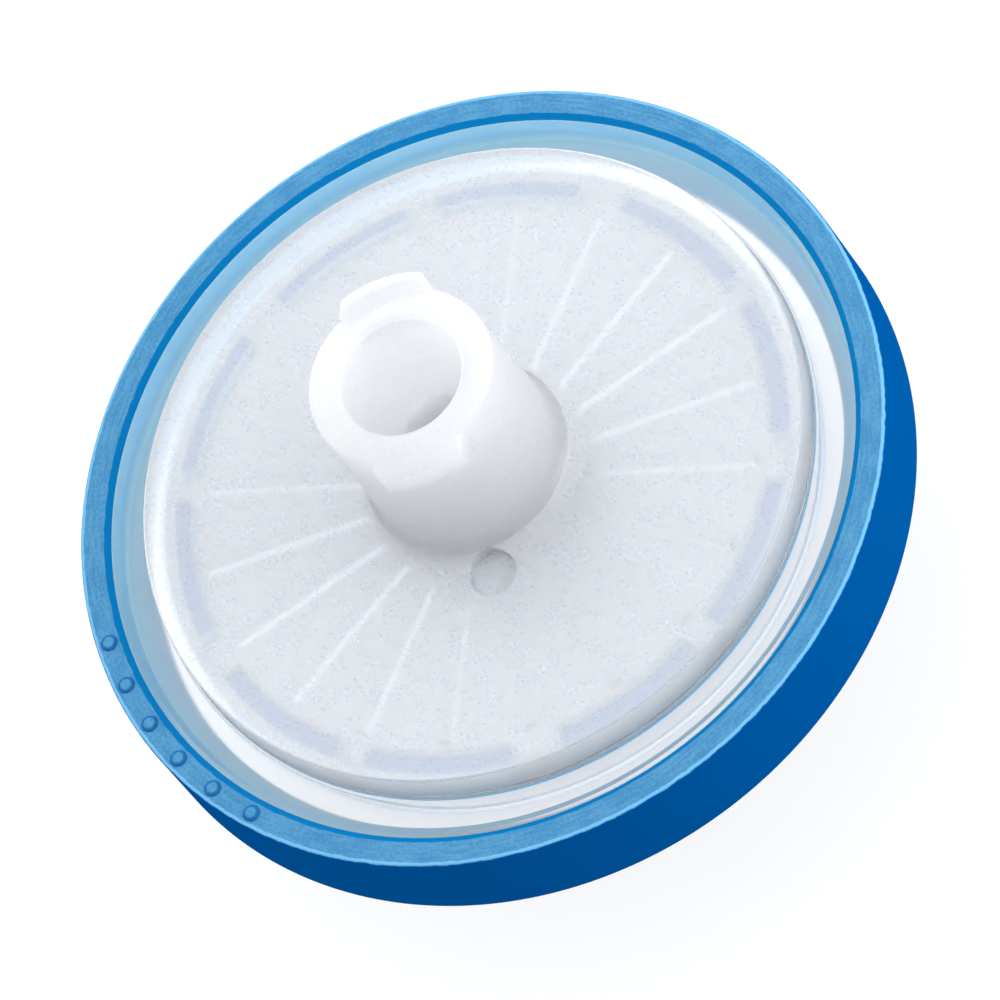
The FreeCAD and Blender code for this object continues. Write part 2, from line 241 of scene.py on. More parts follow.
def turning_tree() -> NodeTree:
    """Turns a section line about the Z axis, from points with their radius in X and their height in Z.

    Returns:
        The tree.
    """
    tree, given = new_geometry_tree(
        "turned_section", {"Segments": "NodeSocketInt", "Material": "NodeSocketMaterial"}
    )
    line = given.outputs["Geometry"]
    count = tree.node("GeometryNodeAttributeDomainSize", {"Geometry": line}).outputs["Point Count"]
    columns = tree.plus(given.outputs["Segments"], 1.0)
    grid = tree.node(
        "GeometryNodeMeshGrid", {"Size X": 1.0, "Size Y": 1.0, "Vertices X": columns, "Vertices Y": count}
    )
    across, along, _ = tree.parts(tree.node("GeometryNodeInputPosition").outputs[0])
    turn = tree.times(tree.plus(across, 0.5), FULL_TURN)
    last = tree.minus(count, 1.0)
    index = tree.math("ROUND", tree.times(tree.plus(along, 0.5), last))
    spot = tree.node("GeometryNodeSampleIndex", data_type="FLOAT_VECTOR", domain="POINT")
    tree.put(spot.inputs["Geometry"], line)
    tree.put(spot.inputs["Value"], tree.node("GeometryNodeInputPosition").outputs[0])
    tree.put(spot.inputs["Index"], index)
    radius, _, height = tree.parts(spot.outputs[0])
    place = tree.on_circle(radius, turn, height)
    turned = tree.node("GeometryNodeSetPosition", {"Geometry": grid.outputs["Mesh"], "Position": place})
    closed = tree.node("GeometryNodeMergeByDistance", {"Geometry": turned.outputs[0], "Distance": 1e-6})
    close_geometry_tree(tree, closed.outputs[0], given)
    return tree.tree


BLOCK_SIZES = ("Width", "Start", "End", "Bottom", "Top")


def block_tree(cut: Cut) -> NodeTree:
    """Adds blocks to a body, or removes them from it, evenly spread about the Z axis.

    Args:
        cut: Whether they are added or removed.

    Returns:
        The tree.
    """
    inputs = {"Count": "NodeSocketInt", "First Angle": "NodeSocketFloat", "Material": "NodeSocketMaterial"}
    inputs.update(dict.fromkeys(BLOCK_SIZES, "NodeSocketFloat"))
    tree, given = new_geometry_tree(f"blocks_{cut.name.lower()}", inputs)
    size = {name: given.outputs[name] for name in BLOCK_SIZES}
    extent = tree.vector(
        size["Width"],
        tree.minus(size["End"], size["Start"]),
        tree.minus(size["Top"], size["Bottom"]),
    )
    centre = tree.vector(
        0.0,
        tree.times(tree.plus(size["Start"], size["End"]), 0.5),
        tree.times(tree.plus(size["Bottom"], size["Top"]), 0.5),
    )
    block = tree.node("GeometryNodeMeshCube", {"Size": extent})
    placed = tree.node("GeometryNodeTransform", {"Geometry": block.outputs["Mesh"], "Translation": centre})
    count = given.outputs["Count"]
    points = tree.node("GeometryNodePoints", {"Count": count})
    step = tree.math("DIVIDE", FULL_TURN, count)
    index = tree.node("GeometryNodeInputIndex").outputs[0]
    angle = tree.math("MULTIPLY_ADD", index, step, given.outputs["First Angle"])
    copies = tree.node(
        "GeometryNodeInstanceOnPoints",
        {
            "Points": points.outputs[0],
            "Instance": placed.outputs[0],
            "Rotation": tree.vector(0.0, 0.0, angle),
        },
    )
    blocks = tree.node("GeometryNodeRealizeInstances", {"Geometry": copies.outputs[0]})
    joined = tree.node("GeometryNodeMeshBoolean", operation=cut.value, solver="EXACT")
    if cut is Cut.REMOVE:
        tree.put(joined.inputs["Mesh 1"], given.outputs["Geometry"])
    else:
        tree.put(joined.inputs["Mesh 2"], given.outputs["Geometry"])
    tree.put(joined.inputs["Mesh 2"], blocks.outputs[0])
    close_geometry_tree(tree, joined.outputs["Mesh"], given)
    return tree.tree


def row_tree() -> NodeTree:
    """Sets copies of a small piece in a row along an arc about the Z axis, and joins them to a body.

    Returns:
        The tree.
    """
    inputs = {"Mark": "NodeSocketObject", "Count": "NodeSocketInt", "Material": "NodeSocketMaterial"}
    inputs.update(dict.fromkeys(("First Angle", "Pitch", "Circle Radius", "Height"), "NodeSocketFloat"))
    tree, given = new_geometry_tree("row_of_marks", inputs)
    mark = tree.node("GeometryNodeObjectInfo", {"Object": given.outputs["Mark"]}, transform_space="ORIGINAL")
    points = tree.node("GeometryNodePoints", {"Count": given.outputs["Count"]})
    index = tree.node("GeometryNodeInputIndex").outputs[0]
    angle = tree.math("MULTIPLY_ADD", index, given.outputs["Pitch"], given.outputs["First Angle"])
    place = tree.on_circle(given.outputs["Circle Radius"], angle, given.outputs["Height"])
    spread = tree.node("GeometryNodeSetPosition", {"Geometry": points.outputs[0], "Position": place})
    copies = tree.node(
        "GeometryNodeInstanceOnPoints",
        {"Points": spread.outputs[0], "Instance": mark.outputs["Geometry"]},
    )
    joined = tree.node("GeometryNodeJoinGeometry")
    tree.put(joined.inputs[0], given.outputs["Geometry"])
    tree.put(joined.inputs[0], copies.outputs[0])
    real = tree.node("GeometryNodeRealizeInstances", {"Geometry": joined.outputs[0]})
    close_geometry_tree(tree, real.outputs[0], given)
    return tree.tree


# Meshes


@dataclass(frozen=True)
class Corner:
    """A corner of a section: its radius and height in millimetres, and the radius of its rounding."""

    radius: float
    height: float
    rounding: float = 0.0


@dataclass
class Section:
    """A closed section line through corners, with rounded ones as arcs.

    Each arc has a point a little before and after it, so that the flat beside it stays flat in its shading.
    """

    corners: list[Corner]
    arc_steps: int = 8
    hold: float = 0.03

    def line(self) -> list[Vector]:
        """Works out the line.

        Returns:
            Its points in metres, the first one repeated at the end.
        """
        spots = [Vector((corner.radius, 0.0, corner.height)) for corner in self.corners]
        points: list[Vector] = []
        for i, corner in enumerate(self.corners):
            spot = spots[i]
            back = (spots[i - 1] - spot).normalized()
            ahead = (spots[(i + 1) % len(spots)] - spot).normalized()
            if corner.rounding > 0:
                points += self.arc(spot, back, ahead, corner.rounding)
            else:
                points += [spot + back * self.hold, spot, spot + ahead * self.hold]
        points.append(points[0])
        return [point * MM for point in points]

    def arc(self, spot: Vector, back: Vector, ahead: Vector, rounding: float) -> list[Vector]:
        """The points of a rounded corner, with the two that hold the flats beside it.

        Args:
            spot: The sharp corner.
            back: The direction to the corner before.
            ahead: The direction to the corner after.
            rounding: The radius of the arc.

        Returns:
            The points in order.
        """
        half = back.angle(ahead) / 2
        middle = (back + ahead).normalized()
        centre = spot + middle * (rounding / math.sin(half))
        reach = rounding / math.tan(half)
        first, last = spot + back * reach - centre, spot + ahead * reach - centre
        swept = first.angle(last)
        steps = max(3, round(self.arc_steps * swept / (math.pi / 2)))
        points = [spot + back * (reach + self.hold)]
        for step in range(steps + 1):
            share = step / steps
            lean = math.sin((1 - share) * swept), math.sin(share * swept)
            points.append(centre + (first * lean[0] + last * lean[1]) / math.sin(swept))
        points.append(spot + ahead * (reach + self.hold))
        return points


def new_object(name: str, data: ID) -> Object:
    """Makes a linked object at the origin.

    Args:
        name: Its name.
        data: Its mesh, light or camera.

    Returns:
        The object.
    """
    made = bpy.data.objects.new(name, data)
    bpy.context.scene.collection.objects.link(made)
    return made


def run_tree(body: Object, group: NodeTree, inputs: dict[str, object]) -> None:
    """Runs a geometry tree on an object and keeps the result as its plain mesh.

    Args:
        body: The object.
        group: The tree.
        inputs: The values of the tree's inputs, by name.
    """
    modifier = body.modifiers.new(group.name, "NODES")
    modifier.node_group = group
    for item in group.interface.items_tree:
        if item.item_type == "SOCKET" and item.in_out == "INPUT" and item.name in inputs:
            modifier[item.identifier] = inputs[item.name]
    keep_result(body)


def keep_result(body: Object) -> None:
    """Turns what an object's modifiers give into its plain mesh, and removes them.

    Args:
        body: The object.
    """
    graph = bpy.context.evaluated_depsgraph_get()
    result = bpy.data.meshes.new_from_object(body.evaluated_get(graph), depsgraph=graph)
    body.modifiers.clear()
    old, body.data = body.data, result
    result.name = body.name
    bpy.data.meshes.remove(old)


def face_outwards(body: Object) -> None:
    """Turns the faces of a closed mesh outwards where its volume comes out negative.

    Args:
        body: The mesh's object.
    """
    work = bmesh.new()
    work.from_mesh(body.data)
    if work.calc_volume(signed=True) < 0:
        bmesh.ops.reverse_faces(work, faces=work.faces)
        work.to_mesh(body.data)
    work.free()


def turned(name: str, section: Section, material: Material | None, segments: int = 256) -> Object:
    """A body turned from a section.

    Args:
        name: The object's name.
        section: Its section.
        material: Its material.
        segments: The number of steps about the axis.

    Returns:
        The object, with its faces outwards.
    """
    points = section.line()
    mesh = bpy.data.meshes.new(name)
    mesh.from_pydata(points, [(i, i + 1) for i in range(len(points) - 1)], [])
    body = new_object(name, mesh)
    run_tree(body, turning_tree(), {"Segments": segments, "Material": material})
    face_outwards(body)
    return body


def combine(body: Object, tool: Object, cut: Cut) -> None:
    """Adds a tool's shape to a body, or removes it, and removes the tool.

    Args:
        body: The body.
        tool: The tool.
        cut: Whether its shape is added or removed.
    """
    modifier = body.modifiers.new("combine", "BOOLEAN")
    modifier.object = tool
    modifier.operation = cut.value
    modifier.solver = "EXACT"
    keep_result(body)
    bpy.data.objects.remove(tool, do_unlink=True)


@dataclass(frozen=True)
class Blocks:
    """Equal blocks spread evenly about the Z axis, in millimetres.

    Args:
        count: How many there are.
        first: The angle of the first one from +Y, in radians.
        width: Their width.
        reach: The radii where they start and end.
        heights: The heights where they start and end.
    """

    count: int
    first: float
    width: float
    reach: tuple[float, float]
    heights: tuple[float, float]

    def apply(self, body: Object, cut: Cut, material: Material) -> None:
        """Adds the blocks to a body, or removes them from it.

        Args:
            body: The body.
            cut: Whether they are added or removed.
            material: The body's material.
        """
        inputs = {"Count": self.count, "First Angle": self.first, "Material": material}
        for name, size in zip(BLOCK_SIZES, (self.width, *self.reach, *self.heights)):
            inputs[name] = size * MM
        run_tree(body, block_tree(cut), inputs)


def join_frame(piece: Object, node: str) -> None:
    """Hands a finished piece to the frame, and logs it.

    Args:
        piece: The piece.
        node: The CAD node that it replaces.
    """
    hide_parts(node)
    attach(piece, "root")
    LOG.info("%s: %d faces", piece.name, len(piece.data.polygons))


# Finishes


def linear(hex_colour: str) -> tuple[float, float, float, float]:
    """A colour for a shader from six hexadecimal digits."""
    values = [int(hex_colour[i : i + 2], 16) / 255 for i in (0, 2, 4)]
    return (*[v / 12.92 if v <= 0.04045 else ((v + 0.055) / 1.055) ** 2.4 for v in values], 1.0)


FINE_SHARE = 0.6


def grain_group() -> NodeTree:
    """Makes the fine speckle of moulded plastic, or finds it where it is made already.

    Returns:
        A shader group with a speckle about 0.5 and a height.
    """
    name = "moulded_grain"
    if name in bpy.data.node_groups:
        return bpy.data.node_groups[name]
    group = bpy.data.node_groups.new(name, "ShaderNodeTree")
    kinds = {"Vector": "NodeSocketVector", "Grain": "NodeSocketFloat", "Mottle": "NodeSocketFloat"}
    for label, kind in kinds.items():
        group.interface.new_socket(label, in_out="INPUT", socket_type=kind)
    for label in ("Speckle", "Height"):
        group.interface.new_socket(label, in_out="OUTPUT", socket_type="NodeSocketFloat")
    tree = Tree(group)
    given = tree.node("NodeGroupInput")
    fine = tree.noise(given.outputs["Vector"], given.outputs["Grain"])
    coarse = tree.noise(given.outputs["Vector"], given.outputs["Mottle"])
    speckle = tree.plus(tree.times(fine, FINE_SHARE), tree.times(coarse, 1.0 - FINE_SHARE))
    tree.node("NodeGroupOutput", {"Speckle": speckle, "Height": fine})
    return group


def new_material(name: str) -> tuple[Material, Tree, Node, Socket]:
    """A material with an empty Principled BSDF.

    Args:
        name: The material's name.

    Returns:
        The material, its tree, its shader and the place in object coordinates, in millimetres.
    """
    material = bpy.data.materials.new(name)
    material.use_nodes = True
    tree = Tree(material.node_tree)
    shader = tree.node("ShaderNodeBsdfPrincipled", distribution="GGX")
    tree.node("ShaderNodeOutputMaterial", {"Surface": shader.outputs[0]})
    place = tree.node("ShaderNodeTexCoord").outputs["Object"]
    scaled = tree.node("ShaderNodeVectorMath", {0: place, "Scale": 1 / MM}, operation="SCALE")
    return material, tree, shader, scaled.outputs[0]


def add_grain(tree: Tree, place: Socket, scales: tuple[float, float]) -> tuple[Socket, Socket]:
    """Places the moulded grain in a material.

    Args:
        tree: The material's tree.
        place: The place in millimetres.
        scales: The scale of the grain and of the clouds, per millimetre.

    Returns:
        Its speckle and its height.
    """
    inputs = {"Vector": place, "Grain": scales[0], "Mottle": scales[1]}
    made = tree.node("ShaderNodeGroup", inputs, node_tree=grain_group())
    return made.outputs["Speckle"], made.outputs["Height"]


def add_bump(tree: Tree, shader: Node, height: Socket, strength: object, distance: float) -> None:
    """Feeds a height in millimetres to a shader's normal."""
    bump = tree.node("ShaderNodeBump", {"Height": height, "Strength": strength, "Distance": distance * MM})
    tree.put(shader.inputs["Normal"], bump.outputs[0])


def add_scatter(shader: Node, depth: float, shares: tuple[float, ...]) -> None:
    """Lets light spread inside a plastic.

    Args:
        shader: The plastic's shader.
        depth: How far the light spreads, in millimetres.
        shares: The share of that depth for red, green and blue.
    """
    shader.inputs["Subsurface Weight"].default_value = 1.0
    shader.inputs["Subsurface Radius"].default_value = shares
    shader.inputs["Subsurface Scale"].default_value = depth * MM


class Zone(Enum):
    """The zones of the natural plastic, by the way their surface is finished."""

    CLEAR = "natural_polypropylene_clear"
    FROSTED = "natural_polypropylene_frosted"
    HUB = "natural_polypropylene_hub"


@dataclass(frozen=True)
class Finish:
    """A surface that is finely mottled with two colours.

    Args:
        name: The material's name.
        colour: Its colour.
        cloud: The colour of its cloudier spots.
        roughness: How rough the surface is.
        unevenness: How far the roughness wanders with the grain.
        scales: The scale of the grain and of the clouds, per millimetre.
        cloud_step: The levels of the grain between which the clouds set in, or none for an even blend.
        transmission: The share of the light that passes through the surface.
        specular: The strength of its reflections.
        ior: Its refractive index.
        relief: The strength of the grain's relief, and its depth in millimetres.
        scatter: How far light spreads inside it, in millimetres, or zero.
        scatter_shares: The share of that depth for red, green and blue.
    """

    name: str
    colour: str
    cloud: str
    roughness: float
    unevenness: float
    scales: tuple[float, float] = (7.0, 1.2)
    cloud_step: tuple[float, float] | None = (0.35, 0.65)
    transmission: float = 0.0
    specular: float = 0.5
    ior: float = 1.49
    relief: tuple[float, float] | None = None
    scatter: float = 0.0
    scatter_shares: tuple[float, ...] = (1.0, 1.0, 1.0)

    def build(self) -> Material:
        """Makes the material.

        Returns:
            The material.
        """
        material, tree, shader, place = new_material(self.name)
        speckle, height = add_grain(tree, place, self.scales)
        tree.put(shader.inputs["Base Color"], self.mottle(tree, place, speckle))
        spread = tree.times(tree.minus(speckle, 0.5), self.unevenness)
        tree.put(shader.inputs["Roughness"], tree.plus(spread, self.roughness))
        shader.inputs["Transmission Weight"].default_value = self.transmission
        shader.inputs["Specular IOR Level"].default_value = self.specular
        shader.inputs["IOR"].default_value = self.ior
        if self.scatter:
            add_scatter(shader, self.scatter, self.scatter_shares)
        if self.relief:
            add_bump(tree, shader, height, *self.relief)
        return material

    def mottle(self, tree: Tree, place: Socket, speckle: Socket) -> Socket:
        """The mottled colour at a place."""
        clouds = tree.ramp(speckle, *self.cloud_step) if self.cloud_step else speckle
        return tree.blend(clouds, linear(self.colour), linear(self.cloud))


@dataclass(frozen=True)
class CrownedFinish(Finish):
    """Clear plastic whose clamp crown is painted with the blue light of the ring that shows in it.

    Args:
        painted_ring_light: The painted blue of the ring's light on the crown.
        roof: The level below which it lies.
        inner: The radius where it starts.
        outer: The radius where it ends.
        soft: The softness of its edges.
    """

    # Painted light: the crown's faces are painted blue for the ring's light that the clear plastic carries to
    # them.
    painted_ring_light: str = "0088DC"
    roof: float = 0.0
    inner: float = 0.0
    outer: float = 0.0
    soft: float = 0.02

    def mottle(self, tree: Tree, place: Socket, speckle: Socket) -> Socket:
        """Mottles the colour and paints the ring's blue light on the crown.

        Args:
            tree: The material's tree.
            place: The place in millimetres.
            speckle: The grain's speckle there.

        Returns:
            The colour.
        """
        x, y, z = tree.parts(place)
        below = tree.ramp(z, self.roof - self.soft, self.roof - self.soft / 2, 1.0, 0.0)
        around = tree.band(tree.length(x, y), self.inner - self.soft, self.outer + self.soft, self.soft)
        plain = super().mottle(tree, place, speckle)
        # Painted light: the ring's blue laid on the crown's faces.
        return tree.blend(tree.times(below, around), plain, linear(self.painted_ring_light))


def zone_materials(levels: "Levels", inner: float, outer: float) -> dict[Zone, Material]:
    """Makes the materials of the natural plastic.

    Args:
        levels: The levels of the housing.
        inner: The inner radius of the clamp crown.
        outer: Its outer radius.

    Returns:
        The material of each zone.
    """
    finishes = {
        Zone.CLEAR: CrownedFinish(
            Zone.CLEAR.value,
            "FDFEFF",
            "FAFCFF",
            0.16,
            0.02,
            transmission=1.0,
            roof=levels.roof,
            inner=inner,
            outer=outer,
        ),
        Zone.FROSTED: Finish(
            Zone.FROSTED.value,
            "FCFEFF",
            "F5F9FF",
            0.27,
            0.03,
            scales=(6.0, 1.5),
            transmission=0.52,
            relief=(0.05, 0.03),
        ),
        Zone.HUB: Finish(Zone.HUB.value, "F4F6FA", "F0F3F9", 0.32, 0.04, scatter=18.0),
    }
    return {zone: finish.build() for zone, finish in finishes.items()}


def finish_zones(body: Object, materials: dict[Zone, Material], levels: "Levels") -> None:
    """Gives each face of a housing the material of its zone.

    Args:
        body: The housing.
        materials: The material of each zone.
        levels: The levels of the housing.
    """
    body.data.materials.clear()
    for zone in Zone:
        body.data.materials.append(materials[zone])
    order = list(Zone)
    for face in body.data.polygons:
        spot = face.center / MM
        zone = levels.zone(math.hypot(spot.x, spot.y), spot.z, face.normal.z)
        face.material_index = order.index(zone)


MEMBRANE_FINISH = Finish("membrane_sheet", "FEFEFF", "F8FAFF", 0.90, 0.10, (9.0, 1.5), None, ior=1.5)
# The ring's bonded faces: the same blue plastic painted a pale blue, as painted light for the light that
# reaches them through the ring, on top of real scatter.
BOND_PAINTED_LIGHT_FINISH = Finish(
    "blue_polypropylene_bonded",
    "A6D8FF",
    "9ACEFF",
    0.55,
    0.10,
    scales=(3.0, 0.8),
    cloud_step=None,
    specular=0.0,
    ior=1.5,
    scatter=6.0,
    scatter_shares=(0.85, 1.15, 3.0),
)


@dataclass(frozen=True)
class DotRow:
    """Where the ring's dots stand: their number, first angle and pitch in radians, and circle's radius."""

    count: int
    first: float
    pitch: float
    radius: float


@dataclass(frozen=True)
class RingFinish:
    """Blue polypropylene: smooth on the side, paler on the top as painted sheen mottled with wear, with a
    painted highlight along the outer edge, dark on the bevel and painted shade round the dots.

    A pair is where a change starts and where it ends. Depths are taken down from the top and the edge
    highlight inwards from the outer radius, all in millimetres. Scales are per millimetre.
    """

    colour: str = "00569E"
    # Painted sheen: both top colours are paler blues than the side, standing for the light that the top face
    # reflects, since the shader has no specular; the mottle between them is wear.
    top: str = "4687B6"
    top_sheen_worn: str = "5A9AC2"
    bevel: str = "0A78B8"
    # Painted highlight: a pale line along the outer top edge, for the light that its rounding catches.
    edge: str = "7CC4F0"
    # Painted shade: a darker ring round each dot for the shade of its rim, with the band's radii from the
    # dot's centre.
    dot_edge_shade: str = "0F63A6"
    dot_shade_band: tuple[float, float] = (0.19, 0.31)
    dot_soft: float = 0.03
    # How strongly the painted edge highlight and the painted shade round the dots are laid on.
    painted_light_strength: float = 0.8
    roughness: float = 0.45
    top_roughness: float = 0.55
    unevenness: float = 0.12
    ragged: float = 0.10
    wander: tuple[float, float, float] = (2.6, 2.0, 0.6)
    grain: tuple[float, float] = (9.0, 1.2)
    relief: tuple[float, float] = (0.2, 0.02)
    turned_lines: tuple[float, float] = (12.0, 14.0)
    lines_share: float = 0.4
    wear_step: tuple[float, float] = (0.32, 0.68)
    # Width and depth of the painted edge highlight.
    edge_highlight_band: tuple[float, float] = (0.14, 0.03)
    edge_highlight_depth: tuple[float, float] = (0.10, 0.03)
    bevel_depth: tuple[float, float] = (0.30, 0.20)
    top_depth: tuple[float, float] = (0.05, 0.01)
    soft: float = 0.02

    def build(self, inner: float, outer: float, top: float, row: DotRow) -> Material:
        """Makes the material.

        Args:
            inner: The radius where the bevel ends and the top face starts.
            outer: The ring's outer radius.
            top: The level of its top face.
            row: The row of dots.

        Returns:
            The material.
        """
        material, tree, shader, place = new_material("blue_polypropylene")
        x, y, z = tree.parts(place)
        radius, turn = tree.length(x, y), tree.math("ARCTAN2", y, x)
        speckle, height = add_grain(tree, place, self.grain)
        wander = tree.minus(tree.noise(place, *self.wander), 0.5)
        ragged_radius = tree.plus(radius, tree.times(wander, self.ragged))
        on_top = tree.ramp(z, *[top - depth for depth in self.top_depth])
        past_bevel = tree.ramp(ragged_radius, inner - self.soft, inner + self.soft)
        face = tree.times(on_top, past_bevel)
        above_foot = tree.ramp(z, *[top - depth for depth in self.bevel_depth])
        on_bevel = tree.times(above_foot, tree.minus(1.0, past_bevel))
        # Painted highlight along the ragged outer top edge.
        edge = tree.band(ragged_radius, *[outer - width for width in self.edge_highlight_band], self.soft)
        edge_highlight_band = tree.times(edge, tree.ramp(z, *[top - depth for depth in self.edge_highlight_depth]))
        colour = tree.blend(on_bevel, linear(self.colour), linear(self.bevel))
        # Painted sheen on the top face, mottled with wear along turned lines.
        colour = tree.blend(face, colour, self.top_sheen_colour(tree, radius, turn, speckle))
        colour = tree.blend(tree.times(edge_highlight_band, self.painted_light_strength), colour, linear(self.edge))
        # Painted shade rings round the dots on the top face.
        dot_shade = tree.times(self.dot_shade_rings(tree, radius, turn, row), on_top)
        colour = tree.blend(tree.times(dot_shade, self.painted_light_strength), colour, linear(self.dot_edge_shade))
        tree.put(shader.inputs["Base Color"], colour)
        shader.inputs["Specular IOR Level"].default_value = 0.0
        rough = tree.mix(face, self.roughness, self.top_roughness)
        spread = tree.times(tree.minus(speckle, 0.5), self.unevenness)
        tree.put(shader.inputs["Roughness"], tree.plus(rough, spread))
        add_bump(tree, shader, height, *self.relief)
        return material

    def top_sheen_colour(self, tree: Tree, radius: Socket, turn: Socket, speckle: Socket) -> Socket:
        """Colours the top face with painted sheen, a paler blue than the side, mottled with wear along faint
        turned lines.

        Args:
            tree: The material's tree.
            radius: The distance from the axis.
            turn: The angle about it.
            speckle: The grain's speckle.

        Returns:
            The colour.
        """
        across, along = self.turned_lines
        lines = tree.noise(tree.vector(tree.times(radius, across), tree.times(turn, along), 0.0), 1.0)
        wear = tree.mix(self.lines_share, speckle, lines)
        return tree.blend(tree.ramp(wear, *self.wear_step), linear(self.top), linear(self.top_sheen_worn))

    def dot_shade_rings(self, tree: Tree, radius: Socket, turn: Socket, row: DotRow) -> Socket:
        """Finds the painted shade rings round the dots, by the distance from the nearest dot of the row.

        Args:
            tree: The material's tree.
            radius: The distance from the axis.
            turn: The angle about it.
            row: The row of dots.

        Returns:
            Their mask.
        """
        steps = tree.math("DIVIDE", tree.minus(turn, row.first - FULL_TURN), row.pitch)
        nearest = tree.math("MINIMUM", tree.math("MAXIMUM", tree.math("ROUND", steps), 0.0), row.count - 1.0)
        beside = tree.times(tree.minus(steps, nearest), row.pitch * row.radius)
        from_dot = tree.length(beside, tree.minus(radius, row.radius))
        return tree.band(from_dot, *self.dot_shade_band, self.dot_soft)


# The filter


@dataclass
class Levels:
    """Heights and radii that the pieces share, worked out from the frame and a few sizes, in millimetres."""

    hub_height: float = 6.70
    plateau_rise: float = 0.95
    channel_drop: float = 0.25
    bevel_depth: float = 0.14
    plate_thickness: float = 1.25
    chamber_height: float = 0.60
    drain_depth: float = 0.45
    lip_thickness: float = 0.90
    border_width: float = 1.55
    gap: float = 0.01
    sunk: float = 0.20
    hub_from: float = 0.30
    socket_reach: float = 2.30
    frost_margin: float = 0.10
    spout_reach: float = 5.0
    steep: float = 0.7
    crown_reach: tuple[float, float] = (10.20, 11.10)

    def __post_init__(self) -> None:
        """Works out the levels, from the plateau down."""
        low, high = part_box("inlet_housing")
        self.housing_radius = high.x / MM
        self.plateau_radius = self.housing_radius - self.border_width
        self.plateau = -self.hub_height
        self.ring_top = self.plateau - self.plateau_rise
        self.channel = self.ring_top - self.channel_drop
        self.rim_top = self.ring_top - self.bevel_depth
        self.roof = self.plateau - self.plate_thickness
        self.membrane_top = self.roof - self.chamber_height
        self.parting = low.z / MM
        self.drain_floor = self.parting - self.drain_depth
        self.outlet_face = self.drain_floor - self.plate_thickness
        self.ring_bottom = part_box("overmould_ring")[0].z / MM
        self.lip_top = self.ring_bottom + self.lip_thickness

    def zone(self, radius: float, level: float, facing: float) -> Zone:
        """The zone of a housing's face.

        Args:
            radius: The distance of the face from the axis.
            level: Its height.
            facing: The Z part of its normal.

        Returns:
            The zone.
        """
        in_socket = radius < self.socket_reach and level > self.roof + self.gap
        if level > self.plateau + self.hub_from or in_socket:
            return Zone.HUB
        on_plateau = level > self.channel + self.frost_margin and radius < self.plateau_radius + self.gap
        if on_plateau and facing > -self.gap:
            on_side = radius > self.plateau_radius - self.frost_margin and facing < self.steep
            return Zone.HUB if on_side else Zone.FROSTED
        if level < self.outlet_face - self.gap and radius < self.spout_reach:
            return Zone.HUB
        in_chamber = self.membrane_top + self.gap < level < self.roof - self.gap
        if in_chamber and self.crown_reach[0] < radius < self.crown_reach[1]:
            return Zone.HUB
        return Zone.CLEAR


